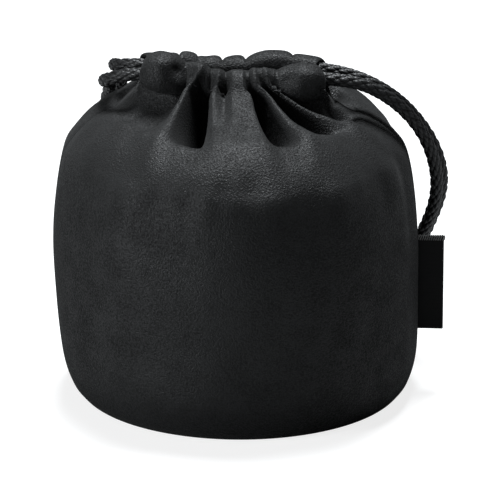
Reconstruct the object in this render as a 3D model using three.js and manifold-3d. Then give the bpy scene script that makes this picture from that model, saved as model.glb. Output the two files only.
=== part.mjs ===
// A drawstring pouch for a camera lens, in black suede cloth, drawn shut.
// Millimetres, +Z up, +X to the right. The front panel faces -Y.
// The origin is the middle of the base's underside, on the surface that the pouch stands on.
import * as THREE from "three";
import { mergeVertices } from "three/addons/utils/BufferGeometryUtils.js";
import Module from "manifold-3d";

const wasm = await Module();
wasm.setup();

// Cloth
const panel_cloth = 1.2;
const lining_cloth = 0.6;
const clearance = 0.3;

// Body: the wall's outline from the base seam to the shoulder
const belly_radius = 51.1;
const shoulder_height = 70;
const wall_height_shares = [0.009, 0.027, 0.057, 0.129, 0.229, 0.4, 0.643, 0.857, 1];
const wall_radius_shares = [0.872, 0.9, 0.928, 0.961, 0.98, 0.992, 1, 0.978, 0.943];
const base_radius = belly_radius * wall_radius_shares[0] - panel_cloth;

// Top: from the shoulder over the gathers to the stitch line under the cord channels
const mouth_height = 87.3;
const mouth_half_width = 25.5;
const mouth_half_depth = 7;
const mouth_squareness = 3.5;
const mouth_end_drop = 2.8;
const shoulder_radius_shares = [0.897, 0.828, 0.738];
const shoulder_rise_shares = [0.25, 0.45, 0.61];
const neck_inward_shares = [0.4, 0.75, 1];
const neck_rise_shares = [0.73, 0.87, 1];

// Gathers: places are shares of a panel's width, sizes are shares of the tallest fold
const ridge_height = 2.4;
const pocket_depth = 4.4;
const fold_start_share = 0.56;
const fold_full_share = 0.8;
const fold_width_share = 0.06;
const fold_at_mouth_share = 0.45;
const front_ridge_shares = [[0, 0.6], [0.28, 1], [0.5, 1], [0.71, 0.9], [0.89, 0.6]];
const front_pocket_shares = [[0.16, 0.15], [0.385, 1], [0.61, 1], [0.8, 0.7]];
const back_ridge_shares = [[0, 0.6], [0.15, 0.5], [0.37, 1], [0.6, 0.9], [0.84, 0.7]];
const back_pocket_shares = [[0.25, 0.8], [0.49, 0.9], [0.72, 0.8]];

// Base
const base_pad_thickness = 3;
const base_edge_round = 0.4;

// Cord channels: the hems that the cords run in
const channel_height = 11.2;
const channel_thickness = 7.4;
const channel_half_length = 26.7;
const channel_bow = 3.1;
const channel_bend_shares = [0.075, 0.637];
const channel_mitre = 10;
const channel_squareness = 4;
const channel_puffs = 9;
const puff_swell = 0.7;
const end_puff_swell = 1.6;
const end_puff_shares = [0.55, 0.8, 0.85, 1.05];
const back_puff_share = 0.3;

// Cords
const cord_diameter = 3.8;
const cord_spacing = 4.1;
const cord_travel = 7;
const lead_grip = 4.2;
const lead_inner_end = channel_half_length - cord_travel - lead_grip;
const lead_depth = 4;
const lead_bend_shares = [0.3, 0.487];
const held_front_shares = [1, 0.87, 0.6, 0.3, 0];
const bight_start = 20.5;
const bight_reach = 4.8;
const held_back_shares = [0.25, 0.5, 0.75, 1];

// Knots: two strands tied in one
const knot_half_length = 9.8;
const knot_half_width = 8.2;
const knot_half_height = 6.4;
const knot_groove = 0.8;
const knot_turns = 3;
const tail_length = 6.6;
const tail_spread = 0.35;
const tail_start_share = 0.5;
const tail_middle_drop_share = 0.6;

// Side tag: a ribbon folded in half and sewn into the right seam
const tag_bottom = 17;
const tag_height = 28;
const tag_reach = 6.9;
const ribbon = 0.35;
const ribbon_gap = 0.4;
const tag_clearance = 0.45;

// Counts
const panel_columns = 28;
const panel_rows = 18;
const channel_columns = 32;
const channel_outer_sides = 12;
const channel_inner_sides = 8;
const disc_sides = 32;
const cord_sides = 8;
const held_cord_steps = 30;
const bight_steps = 8;
const knot_sides = 18;
const knot_rings = 12;
const ribbon_bend_steps = 6;
const halvings = 40;
const step_diameters = 2.5;

// Free strands, each from its channel's mouth to its knot
const right_front_route = [
  [26.7, -4, 92.32], [28.7, -4, 92.1], [32, -3.75, 91.8], [35.6, -3.2, 90.7], [41.4, -2.1, 87.2],
  [46.9, -0.4, 82.2], [51.4, 1.7, 75.9], [54.3, 4.3, 69.2], [55.9, 7, 62.3], [56.4, 10.1, 55.2],
  [55.3, 13.9, 47.8], [53.3, 18.2, 41], [50.6, 23.2, 33.4], [47.7, 28.8, 25.4], [44.8, 34.5, 17.8],
  [41.8, 40.1, 10.8], [38.8, 44.7, 5.6], [35, 49.1, 2.8], [29.57, 53.06, 4.9],
];
const right_back_route = [
  [26.7, 4, 92.32], [28.7, 3.95, 92.05], [31.8, 3.6, 91.2], [35.6, 3, 90.1], [41.3, 2.7, 87.1],
  [46.6, 3.8, 82.6], [50.9, 6, 76.8], [54.5, 8.5, 70.4], [56.9, 11.1, 63.6], [57.9, 14.1, 56.4],
  [57, 17.9, 49.2], [55, 22.2, 42.2], [52.6, 27, 34.6], [50, 32.4, 26.6], [47.2, 38, 18.8],
  [44.2, 43.8, 11.5], [41, 48.9, 5.6], [36.9, 53.4, 2.8], [31.15, 56.96, 4.9],
];
const left_front_route = [
  [-26.7, -4, 94.08], [-28.6, -4, 94.15], [-31.1, -3.5, 93.6], [-33.8, -1.8, 92.2], [-35.9, 1.2, 90.5],
  [-36.7, 5.2, 88.8], [-36.5, 10.2, 86.9], [-35.7, 15.8, 84.9], [-35, 22.4, 82.3], [-35.1, 29, 78.9],
  [-36, 34.6, 73.6], [-37.4, 37.2, 66], [-38.6, 38.2, 57], [-39, 38.6, 47.5], [-38.8, 39.2, 38],
  [-38, 40.7, 28.6], [-36.8, 43.3, 19.4], [-34.8, 46.9, 11], [-32, 50.8, 5], [-28.9, 53.7, 2.8],
  [-26.3, 55.2, 3.4], [-23.56, 56.88, 4.9],
];
const left_back_route = [
  [-26.7, 4, 94.08], [-28.6, 4.2, 94], [-31, 5.5, 93.2], [-33, 8.6, 92], [-33.9, 13, 90.7],
  [-33.8, 17.8, 89.1], [-33.1, 22.6, 87.2], [-32.1, 27.6, 84.5], [-31.8, 33.4, 80.4], [-32.2, 38.4, 74.4],
  [-33.2, 41.4, 66.6], [-33.9, 42.9, 58], [-34.2, 43.6, 49], [-34.2, 44, 40.5], [-34, 44.8, 32],
  [-33.4, 46.2, 24], [-32.2, 48.9, 16.6], [-30.7, 53, 10.2], [-29.2, 57.5, 6.4], [-27.5, 60, 5.4],
  [-25, 61.2, 4.9],
];
const right_knot_place = [21, 58.8, 6.6];
const left_knot_place = [-14.6, 62, 6.6];
const right_knot_turn = THREE.MathUtils.degToRad(-22);
const left_knot_turn = THREE.MathUtils.degToRad(18);

const clamp01 = (t) => Math.min(1, Math.max(0, t));
const smooth = (from, to, t) => {
  const s = clamp01((t - from) / (to - from));
  return s * s * (3 - 2 * s);
};
const lerp = (a, b, t) => a + (b - a) * t;

function material(colour, roughness) {
  return new THREE.MeshStandardMaterial({ color: colour, roughness, metalness: 0 });
}

const suede = material(0x232527, 0.92);
const hem_suede = material(0x26282b, 0.92);
const lining = material(0x17181a, 0.8);
const foam = material(0x2b2c2e, 0.95);
const braid = material(0x131415, 0.7);
const woven = material(0x0e0e10, 0.6);

const pouch = new THREE.Group();
pouch.name = "lens_pouch";

function addPiece(name, geometry, finish) {
  const piece = new THREE.Mesh(geometry, finish);
  piece.name = name;
  pouch.add(piece);
  return piece;
}

// Outline of the cloth

// A turn goes once round the pouch, from the left seam over the front to the right seam and back.
const wrap = (turn) => ((turn % 1) + 1) % 1;
const isFront = (turn) => wrap(turn) < 0.5;

function panelShare(turn) {
  return isFront(turn) ? 2 * wrap(turn) : 2 - 2 * wrap(turn);
}

function mouthPoint(turn) {
  const across = 2 * panelShare(turn) - 1;
  const side = isFront(turn) ? -1 : 1;
  const depth = Math.pow(1 - Math.pow(Math.abs(across), mouth_squareness), 1 / mouth_squareness);
  return new THREE.Vector3(
    mouth_half_width * across,
    side * mouth_half_depth * depth,
    mouth_height - mouth_end_drop * across,
  );
}

// The line that the cloth takes upwards at one turn: wall, shoulder, neck.
function meridian(turn) {
  const angle = 2 * Math.PI * turn;
  const out = new THREE.Vector3(-Math.cos(angle), -Math.sin(angle), 0);
  const mouth = mouthPoint(turn);
  const rise = mouth.z - shoulder_height;
  const points = wall_height_shares.map((share, i) =>
    out.clone().multiplyScalar(belly_radius * wall_radius_shares[i]).setZ(shoulder_height * share));
  shoulder_radius_shares.forEach((share, i) => {
    const height = shoulder_height + rise * shoulder_rise_shares[i];
    points.push(out.clone().multiplyScalar(belly_radius * share).setZ(height));
  });
  const top = points.at(-1).clone();
  neck_inward_shares.forEach((share, i) => {
    const height = shoulder_height + rise * neck_rise_shares[i];
    points.push(top.clone().lerp(mouth, share).setZ(height));
  });
  return new THREE.CatmullRomCurve3(points, false, "centripetal");
}

const meridians = new Map();

function smoothCloth(turn, climb) {
  const place = wrap(turn);
  if (!meridians.has(place)) meridians.set(place, meridian(place));
  return meridians.get(place).getPoint(clamp01(climb));
}

function foldHeight(turn, climb) {
  const share = panelShare(turn);
  const ridges = isFront(turn) ? front_ridge_shares : back_ridge_shares;
  const pockets = isFront(turn) ? front_pocket_shares : back_pocket_shares;
  const wave = (place) => Math.exp(-Math.pow((share - place) / fold_width_share, 2));
  let height = 0;
  for (const [place, size] of ridges) height += ridge_height * size * wave(place);
  for (const [place, size] of pockets) height -= pocket_depth * size * wave(place);
  const growth = smooth(fold_start_share, fold_full_share, climb);
  return height * growth * lerp(1, fold_at_mouth_share, smooth(fold_full_share, 1, climb));
}

const probe = 0.004;

function outward(pointAt, turn, climb) {
  const high = Math.min(1, climb + probe);
  const low = Math.max(0, climb - probe);
  const round = pointAt(turn + probe, climb).sub(pointAt(turn - probe, climb));
  const up = pointAt(turn, high).sub(pointAt(turn, low));
  return round.cross(up).normalize();
}

// Folds swell outwards, and level out towards the stitch line, which stays flat under the channels.
function foldedCloth(turn, climb) {
  const point = smoothCloth(turn, climb);
  const height = foldHeight(turn, climb);
  if (height === 0) return point;
  const push = outward(smoothCloth, turn, climb).multiplyScalar(height);
  push.z *= 1 - smooth(fold_full_share, 1, climb);
  return point.add(push);
}

// A stretch of cloth between two turns and two climbs, as a closed solid.
function clothSolid(turns, climbs, columns, rows, outer_inset, thickness) {
  const ring = turns[1] - turns[0] >= 1;
  const across = ring ? columns : columns + 1;
  const positions = [];
  for (const inset of [outer_inset, outer_inset + thickness]) {
    for (let j = 0; j <= rows; j++) {
      for (let i = 0; i < across; i++) {
        const turn = lerp(turns[0], turns[1], i / columns);
        const climb = lerp(climbs[0], climbs[1], j / rows);
        const point = foldedCloth(turn, climb).addScaledVector(outward(foldedCloth, turn, climb), -inset);
        positions.push(point.x, point.y, point.z);
      }
    }
  }
  const layer = across * (rows + 1);
  const at = (inner, i, j) => inner * layer + j * across + (i % across);
  const faces = [];
  const quad = (a, b, c, d) => faces.push(a, b, c, a, c, d);
  for (let i = 0; i < columns; i++) {
    for (let j = 0; j < rows; j++) {
      quad(at(0, i, j), at(0, i + 1, j), at(0, i + 1, j + 1), at(0, i, j + 1));
      quad(at(1, i, j), at(1, i, j + 1), at(1, i + 1, j + 1), at(1, i + 1, j));
    }
    quad(at(1, i, 0), at(1, i + 1, 0), at(0, i + 1, 0), at(0, i, 0));
    quad(at(0, i, rows), at(0, i + 1, rows), at(1, i + 1, rows), at(1, i, rows));
  }
  for (let j = 0; j < rows && !ring; j++) {
    quad(at(0, 0, j), at(0, 0, j + 1), at(1, 0, j + 1), at(1, 0, j));
    quad(at(1, columns, j), at(1, columns, j + 1), at(0, columns, j + 1), at(0, columns, j));
  }
  return indexed(positions, faces);
}

function indexed(positions, faces) {
  const geometry = new THREE.BufferGeometry();
  geometry.setAttribute("position", new THREE.Float32BufferAttribute(positions, 3));
  geometry.setIndex(faces);
  geometry.computeVertexNormals();
  return geometry;
}

// The climb at which the smooth wall stands at a height, found by halving.
function climbAt(height) {
  let low = 0;
  let high = 1;
  for (let i = 0; i < halvings; i++) {
    const middle = (low + high) / 2;
    if (smoothCloth(0.25, middle).z < height) low = middle;
    else high = middle;
  }
  return low;
}

function wallRadiusAt(height) {
  return Math.abs(smoothCloth(0.25, climbAt(height)).y);
}

// Outer panels and lining
const seam_trim = clearance / 2 / (2 * Math.PI * base_radius);
addPiece(
  "front_panel",
  clothSolid([seam_trim, 0.5 - seam_trim], [0, 1], panel_columns, panel_rows, 0, panel_cloth),
  suede,
);
addPiece(
  "back_panel",
  clothSolid([0.5 + seam_trim, 1 - seam_trim], [0, 1], panel_columns, panel_rows, 0, panel_cloth),
  suede,
);

const pad_bottom = panel_cloth + clearance;
const lining_floor = pad_bottom + base_pad_thickness + clearance;
const lining_inset = panel_cloth + clearance;
// The sleeve starts above its floor, on a row of the panels' grid, so that it runs parallel to them.
const sleeve_start_row = Math.ceil(climbAt(lining_floor + lining_cloth) * panel_rows);
const sleeve_rows = panel_rows - sleeve_start_row;
addPiece(
  "lining_sleeve",
  clothSolid([0, 1], [sleeve_start_row / panel_rows, 1], 2 * panel_columns, sleeve_rows,
    lining_inset, lining_cloth),
  lining,
);

// Base: outer disc, stiffening pad and lining disc
function disc(radius, bottom, thickness, edge_round) {
  const outline = [
    new THREE.Vector2(0, bottom),
    new THREE.Vector2(radius - edge_round, bottom),
    new THREE.Vector2(radius, bottom + edge_round),
    new THREE.Vector2(radius, bottom + thickness),
    new THREE.Vector2(0, bottom + thickness),
  ];
  const geometry = new THREE.LatheGeometry(outline, disc_sides);
  geometry.rotateX(Math.PI / 2);
  return closed(geometry);
}

// A lathe leaves doubled points along its seam and on its axis.
function closed(geometry) {
  geometry.deleteAttribute("normal");
  geometry.deleteAttribute("uv");
  const merged = mergeVertices(geometry, 1e-3);
  const index = merged.index.array;
  const kept = [];
  for (let i = 0; i < index.length; i += 3) {
    const [a, b, c] = [index[i], index[i + 1], index[i + 2]];
    if (a !== b && b !== c && c !== a) kept.push(a, b, c);
  }
  merged.setIndex(kept);
  merged.computeVertexNormals();
  return merged;
}

addPiece("base_panel", disc(base_radius, 0, panel_cloth, base_edge_round), suede);
addPiece(
  "base_pad",
  disc(base_radius - clearance, pad_bottom, base_pad_thickness, base_edge_round),
  foam,
);
const lining_disc_radius = wallRadiusAt(lining_floor) - lining_inset - lining_cloth - 2 * clearance;
addPiece("lining_base", disc(lining_disc_radius, lining_floor, lining_cloth, 0), lining);

// Cord channels
const channel_bottom = mouth_height + clearance;
const channel_middle = channel_bottom + channel_height / 2;
const tiltAt = (x) => (-mouth_end_drop * x) / mouth_half_width;
const halfShare = (x) => Math.abs(x) / channel_half_length;
const channelDepth = (x) => mouth_half_depth - channel_bow * smooth(...channel_bend_shares, halfShare(x));

function roundedLoop(half_width, half_height, sides) {
  const power = 2 / channel_squareness;
  return Array.from({ length: sides }, (_, i) => {
    const angle = (2 * Math.PI * (i + 0.5)) / sides;
    const across = Math.sign(Math.cos(angle)) * Math.pow(Math.abs(Math.cos(angle)), power);
    const up = Math.sign(Math.sin(angle)) * Math.pow(Math.abs(Math.sin(angle)), power);
    return [half_width * across, half_height * up];
  });
}

// A hollow tube along X with puffed cloth outside and mitred, open ends. side is -1 in front.
function channelSolid(side) {
  const loops = [
    roundedLoop(channel_thickness / 2, channel_height / 2, channel_outer_sides),
    roundedLoop(channel_thickness / 2 - panel_cloth, channel_height / 2 - panel_cloth, channel_inner_sides),
  ];
  const [rise_from, rise_to, fall_from, fall_to] = end_puff_shares;
  const positions = [];
  const starts = [];
  loops.forEach((loop, inner) => {
    starts.push(positions.length / 3);
    for (let i = 0; i <= channel_columns; i++) {
      const along = (2 * i) / channel_columns - 1;
      const wave = Math.pow(Math.sin((Math.PI * channel_puffs * i) / channel_columns), 2);
      const end_rise = smooth(rise_from, rise_to, Math.abs(along));
      const end = end_rise * (1 - smooth(fall_from, fall_to, Math.abs(along)));
      const end_swell = end_puff_swell * (side < 0 ? 1 : back_puff_share);
      const swell = inner ? 0 : puff_swell * wave + end_swell * end;
      for (const [n, up] of loop) {
        const inwards = (channel_thickness / 2 - n) / channel_thickness;
        const x = along * (channel_half_length - channel_mitre * inwards);
        const out = n + swell * Math.max(0, n / channel_thickness) * 2;
        const z = up + swell * Math.max(0, (2 * up) / channel_height);
        positions.push(x, side * (channelDepth(x) + out), channel_middle + tiltAt(x) + z);
      }
    }
  });
  const faces = [];
  const quad = (a, b, c, d) => (side < 0 ? faces.push(a, c, b, a, d, c) : faces.push(a, b, c, a, c, d));
  loops.forEach((loop, inner) => {
    const sides = loop.length;
    const at = (i, k) => starts[inner] + i * sides + (k % sides);
    for (let i = 0; i < channel_columns; i++) {
      for (let k = 0; k < sides; k++) {
        if (inner) quad(at(i, k), at(i + 1, k), at(i + 1, k + 1), at(i, k + 1));
        else quad(at(i, k), at(i, k + 1), at(i + 1, k + 1), at(i + 1, k));
      }
    }
  });
  for (const [column, near] of [[0, true], [channel_columns, false]]) {
    const outer = (k) => starts[0] + column * channel_outer_sides + (k % channel_outer_sides);
    const inner = (k) => starts[1] + column * channel_inner_sides + (k % channel_inner_sides);
    for (const [a, b, c] of ringFaces(channel_outer_sides, channel_inner_sides, outer, inner)) {
      if (near === side > 0) faces.push(a, c, b);
      else faces.push(a, b, c);
    }
  }
  return indexed(positions, faces);
}

// Triangles between an outer loop and an inner loop with other numbers of points.
function ringFaces(outer_sides, inner_sides, outer, inner) {
  const faces = [];
  let i = 0;
  let j = 0;
  while (i < outer_sides || j < inner_sides) {
    const outer_next = (i + 1) / outer_sides;
    const inner_next = (j + 1) / inner_sides;
    if (j >= inner_sides || (i < outer_sides && outer_next <= inner_next)) {
      faces.push([outer(i), outer(i + 1), inner(j)]);
      i += 1;
    } else {
      faces.push([outer(i), inner(j + 1), inner(j)]);
      j += 1;
    }
  }
  return faces;
}

addPiece("front_channel", channelSolid(-1), hem_suede);
addPiece("back_channel", channelSolid(1), hem_suede);

// Cords
function cordSection() {
  const radius = cord_diameter / 2;
  const points = Array.from({ length: cord_sides }, (_, i) => {
    const angle = (2 * Math.PI * (i + 0.5)) / cord_sides;
    return new THREE.Vector2(radius * Math.cos(angle), radius * Math.sin(angle));
  });
  return new THREE.Shape(points);
}

function cordAlong(curve) {
  const steps = Math.ceil(curve.getLength() / (step_diameters * cord_diameter));
  return cordInSteps(curve, steps);
}

function cordInSteps(curve, steps) {
  const geometry = new THREE.ExtrudeGeometry(cordSection(), {
    steps,
    bevelEnabled: false,
    extrudePath: curve,
  });
  return closed(geometry);
}

// level is +1 for the cord that runs on top in the channels and -1 for the one under it.
const passHeight = (x, level) => channel_middle + (level * cord_spacing) / 2 + tiltAt(x);

// The part of a cord inside the channels: out along the front, round the far seam, back along the back.
function heldCord(pull, level) {
  const points = [];
  const start = lead_inner_end - clearance;
  const near = held_front_shares.map((share) => start * share);
  const far = held_back_shares.map((share) => -bight_start * share);
  const front = [...near, ...far];
  const place = (x, y) => points.push(new THREE.Vector3(pull * x, y, passHeight(pull * x, level)));
  const passDepth = (x) => lerp(channelDepth(x), lead_depth, smooth(...lead_bend_shares, halfShare(x)));
  for (const x of front) place(x, -passDepth(x));
  for (let i = 1; i < bight_steps; i++) {
    const angle = (Math.PI * i) / bight_steps;
    place(-bight_start - bight_reach * Math.sin(angle), -lead_depth * Math.cos(angle));
  }
  for (const x of front.toReversed()) place(x, passDepth(x));
  return cordInSteps(new THREE.CatmullRomCurve3(points, false, "centripetal"), held_cord_steps);
}

addPiece("right_drawcord_loop", heldCord(1, 1), braid);
addPiece("left_drawcord_loop", heldCord(-1, -1), braid);

// A free strand starts as a straight lead inside the channel, so that the mouth never looks empty.
function freeStrand(pull, level, route) {
  const points = route.map(([x, y, z]) => new THREE.Vector3(x, y, z));
  const lead_y = Math.sign(points[0].y) * lead_depth;
  const lead_middle = (lead_inner_end + channel_half_length) / 2;
  const lead = [lead_inner_end, lead_middle].map((x) =>
    new THREE.Vector3(pull * x, lead_y, passHeight(pull * x, level)));
  return cordAlong(new THREE.CatmullRomCurve3([...lead, ...points], false, "centripetal"));
}

addPiece("right_strand_front", freeStrand(1, 1, right_front_route), braid);
addPiece("right_strand_back", freeStrand(1, 1, right_back_route), braid);
addPiece("left_strand_front", freeStrand(-1, -1, left_front_route), braid);
addPiece("left_strand_back", freeStrand(-1, -1, left_back_route), braid);

// Knots
function toManifold(geometry) {
  const clean = closed(geometry.clone());
  return new wasm.Manifold(new wasm.Mesh({
    numProp: 3,
    vertProperties: new Float32Array(clean.attributes.position.array),
    triVerts: new Uint32Array(clean.index.array),
  }));
}

function fromManifold(solid) {
  const mesh = solid.getMesh();
  return indexed(Array.from(mesh.vertProperties), Array.from(mesh.triVerts));
}

// A lump with slanting grooves where the turns of cord cross, and the two tails that leave it.
function knotSolid(direction) {
  const lump = new THREE.SphereGeometry(1, knot_sides, knot_rings);
  lump.rotateZ(Math.PI / 2);
  const position = lump.attributes.position;
  for (let i = 0; i < position.count; i++) {
    const [x, y, z] = [position.getX(i), position.getY(i), position.getZ(i)];
    const round = Math.atan2(z, y);
    const fade = Math.sqrt(Math.max(0, 1 - x * x));
    const groove = knot_groove * fade * Math.cos(knot_turns * round + 2 * x);
    const grow = (half) => half - knot_groove + groove;
    position.setXYZ(i, x * knot_half_length, y * grow(knot_half_width), z * grow(knot_half_height));
  }
  let knot = toManifold(lump);
  for (const lean of [-1, 1]) {
    const start_x = direction * knot_half_length * tail_start_share;
    const start = new THREE.Vector3(start_x, (lean * cord_diameter) / 2, 0);
    const away = new THREE.Vector3(direction, lean * tail_spread, 0).normalize();
    const drop = knot_half_height - cord_diameter / 2;
    const end = start.clone().addScaledVector(away, tail_length + Math.abs(start_x));
    const middle = start.clone().lerp(end, 0.5).setZ(-drop * tail_middle_drop_share);
    end.setZ(-drop);
    const tail = cordAlong(new THREE.CatmullRomCurve3([start, middle, end]));
    knot = knot.add(toManifold(tail));
  }
  return fromManifold(knot);
}

const right_knot = addPiece("right_knot", knotSolid(-1), braid);
right_knot.position.set(...right_knot_place);
right_knot.rotation.z = right_knot_turn;
const left_knot = addPiece("left_knot", knotSolid(1), braid);
left_knot.position.set(...left_knot_place);
left_knot.rotation.z = left_knot_turn;

// Side tag: an outline like a hairpin, seen from above, drawn up along the seam
const tag_root = wallRadiusAt(tag_bottom + tag_height) + tag_clearance;
const tag_thickness = 2 * ribbon + ribbon_gap;

function tagSolid() {
  const half = tag_thickness / 2;
  const bend = tag_reach - half;
  const outline = new THREE.Shape();
  outline.moveTo(0, -half);
  outline.lineTo(bend, -half);
  outline.absarc(bend, 0, half, -Math.PI / 2, Math.PI / 2, false);
  outline.lineTo(0, half);
  outline.lineTo(0, ribbon_gap / 2);
  outline.lineTo(bend, ribbon_gap / 2);
  outline.absarc(bend, 0, ribbon_gap / 2, Math.PI / 2, -Math.PI / 2, true);
  outline.lineTo(0, -ribbon_gap / 2);
  const geometry = new THREE.ExtrudeGeometry(outline, {
    depth: tag_height,
    bevelEnabled: false,
    curveSegments: ribbon_bend_steps,
  });
  return closed(geometry);
}

const side_tag = addPiece("side_tag", tagSolid(), woven);
side_tag.position.set(tag_root, 0, tag_bottom);

export default pouch;
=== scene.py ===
# %% [markdown]
# A drawstring pouch for a camera lens
#
# The real object is a round pouch of black synthetic suede. Two cords run in a hem round its mouth and draw it
# shut, so the cloth gathers into a few big folds. This lesson dresses a fixed frame in Blender: the solids of
# the construction model, which say where every piece is. Each chapter says what a piece is on the real object,
# how it could be made, and why this way was chosen.

import math

import bmesh
import bpy
import numpy as np
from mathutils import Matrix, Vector


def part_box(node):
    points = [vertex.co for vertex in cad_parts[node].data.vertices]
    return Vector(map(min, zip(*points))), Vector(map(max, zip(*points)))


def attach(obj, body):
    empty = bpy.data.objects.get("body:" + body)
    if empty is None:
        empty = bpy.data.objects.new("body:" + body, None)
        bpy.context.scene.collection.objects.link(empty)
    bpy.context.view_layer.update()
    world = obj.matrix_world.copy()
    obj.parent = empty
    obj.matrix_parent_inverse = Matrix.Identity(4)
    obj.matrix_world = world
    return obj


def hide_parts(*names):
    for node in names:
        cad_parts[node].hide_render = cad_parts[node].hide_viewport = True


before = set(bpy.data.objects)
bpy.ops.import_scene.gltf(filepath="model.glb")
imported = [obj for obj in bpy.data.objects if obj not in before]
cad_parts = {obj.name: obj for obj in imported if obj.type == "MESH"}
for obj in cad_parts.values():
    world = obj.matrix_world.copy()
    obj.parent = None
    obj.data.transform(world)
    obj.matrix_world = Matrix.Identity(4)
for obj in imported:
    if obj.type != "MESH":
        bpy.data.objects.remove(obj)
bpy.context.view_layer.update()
scene = bpy.context.scene
MM = 0.001

# %% [markdown]
# Camera
#
# The picture is taken from the front and a little above, with a long lens, so the sides hardly converge. A
# camera could be placed by eye. Here it follows from three measures: how many millimetres one pixel of the
# 500-pixel picture covers, how far the camera looks down, and where the middle of the base lies in the picture.

# %% Camera
PIXEL = 0.28 * MM
IMAGE_SIZE = 500
FLOOR_CENTRE_PX = (235.5, 385.5)
LOOKS_DOWN = math.radians(20)
CAMERA_DISTANCE = 5
SENSOR = 36

toward_camera = Vector((0, -math.cos(LOOKS_DOWN), math.sin(LOOKS_DOWN)))
picture_up = Vector((0, math.sin(LOOKS_DOWN), math.cos(LOOKS_DOWN)))
right_shift = (IMAGE_SIZE / 2 - FLOOR_CENTRE_PX[0]) * PIXEL
up_shift = (FLOOR_CENTRE_PX[1] - IMAGE_SIZE / 2) * PIXEL
picture_middle = Vector((right_shift, 0, 0)) + picture_up * up_shift

camera_data = bpy.data.cameras.new("camera")
camera_data.sensor_width = SENSOR
camera_data.lens = SENSOR * CAMERA_DISTANCE / (IMAGE_SIZE * PIXEL)
camera = bpy.data.objects.new("camera", camera_data)
camera.location = picture_middle + toward_camera * CAMERA_DISTANCE
camera.rotation_euler = toward_camera.to_track_quat("Z", "Y").to_euler()
scene.collection.objects.link(camera)
scene.camera = camera
print("lens", round(camera_data.lens), "mm")

# %% [markdown]
# A way to write node trees
#
# Blender's materials and Geometry Nodes are both trees of nodes. Drawn by hand they fill a screen. In code they
# stay readable if one helper adds a node, sets its options and fills its inputs, with either a plain value or
# the output of another node.

# %% Node helper


def add_node(tree, kind, inputs=None, **options):
    """Adds a node. Each input, named or numbered, is a value or the output of another node."""
    node = tree.nodes.new(kind)
    for option, value in options.items():
        setattr(node, option, value)
    for key, value in (inputs or {}).items():
        if isinstance(value, bpy.types.NodeSocket):
            tree.links.new(value, node.inputs[key])
        else:
            node.inputs[key].default_value = value
    return node


def calculate(tree, operation, first, second=0.0, third=0.0):
    """One step of arithmetic on numbers or outputs. Only a step that multiplies and adds uses the third."""
    return add_node(tree, "ShaderNodeMath", {0: first, 1: second, 2: third}, operation=operation).outputs[0]


def choose(tree, factor, first, second):
    """The first value where factor is 0, and the second where it is 1."""
    return add_node(tree, "ShaderNodeMix", {0: factor, 2: first, 3: second}, data_type="FLOAT").outputs[0]


def new_tree(name, sizes, geometry_in, geometry_out):
    """A Geometry Nodes tree with named inputs for its sizes. Whole numbers become whole-number inputs."""
    tree = bpy.data.node_groups.new(name, "GeometryNodeTree")
    face = tree.interface
    face.new_socket(geometry_in, in_out="INPUT", socket_type="NodeSocketGeometry")
    face.new_socket("Finish", in_out="INPUT", socket_type="NodeSocketMaterial")
    for label, value in sizes.items():
        kind = "NodeSocketInt" if isinstance(value, int) else "NodeSocketFloat"
        face.new_socket(label, in_out="INPUT", socket_type=kind).default_value = value
    face.new_socket(geometry_out, in_out="OUTPUT", socket_type="NodeSocketGeometry")
    return tree, add_node(tree, "NodeGroupInput").outputs


def finish_tree(tree, geometry, material):
    """Every tree ends alike: real geometry instead of instances, and one material on it."""
    real = add_node(tree, "GeometryNodeRealizeInstances", {0: geometry}).outputs[0]
    done = add_node(tree, "GeometryNodeSetMaterial", {"Geometry": real, "Material": material}).outputs[0]
    add_node(tree, "NodeGroupOutput", {0: done})


def grow(name, source, tree, material, **sizes):
    """Runs a tree on an object and keeps the result as a plain mesh called name. The source is removed."""
    modifier = source.modifiers.new("tree", "NODES")
    modifier.node_group = tree
    sockets = {item.name: item.identifier for item in tree.interface.items_tree if item.in_out == "INPUT"}
    modifier[sockets["Finish"]] = material
    for label, value in sizes.items():
        modifier[sockets[label.replace("_", " ")]] = value
    evaluated = source.evaluated_get(bpy.context.evaluated_depsgraph_get())
    mesh = bpy.data.meshes.new_from_object(evaluated)
    mesh.name = name
    source.modifiers.clear()
    bpy.data.objects.remove(source)
    return put(name, mesh)


def put(name, mesh):
    piece = bpy.data.objects.new(name, mesh)
    scene.collection.objects.link(piece)
    return piece


# %% [markdown]
# Where a cord lies
#
# A cord is a smooth line through a few points. The points of the free strands are those of the construction
# model, in metres here, so the braid lies where the frame has it. A spline through them is smooth enough for a
# sketch, but its bend changes suddenly at each point. So the line is cut into half-millimetre steps and eased.

# %% Smooth paths
PATH_STEP = 0.0005


def smooth_path(points, easing=60):
    """Evenly spaced points on a centripetal Catmull-Rom curve, eased so that its bend changes slowly."""
    p = np.array(points, float)
    p = np.vstack([2 * p[0] - p[1], p, 2 * p[-1] - p[-2]])
    t = np.linspace(0, 1, 40, endpoint=False)[:, None]
    pieces = []
    for before, start, end, after in zip(p, p[1:], p[2:], p[3:]):
        gaps = [np.linalg.norm(b - a) ** 0.5 for a, b in ((before, start), (start, end), (end, after))]
        leave = (start - before) / gaps[0] - (end - before) / (gaps[0] + gaps[1]) + (end - start) / gaps[1]
        arrive = (end - start) / gaps[1] - (after - start) / (gaps[1] + gaps[2]) + (after - end) / gaps[2]
        pieces.append(
            (2 * t**3 - 3 * t**2 + 1) * start
            + (t**3 - 2 * t**2 + t) * leave * gaps[1]
            + (3 * t**2 - 2 * t**3) * end
            + (t**3 - t**2) * arrive * gaps[1]
        )
    line = even_steps(np.vstack([*pieces, p[-2]]), PATH_STEP)
    for _ in range(easing):
        line[1:-1] += (line[:-2] + line[2:] - 2 * line[1:-1]) / 2
    return line


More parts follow.
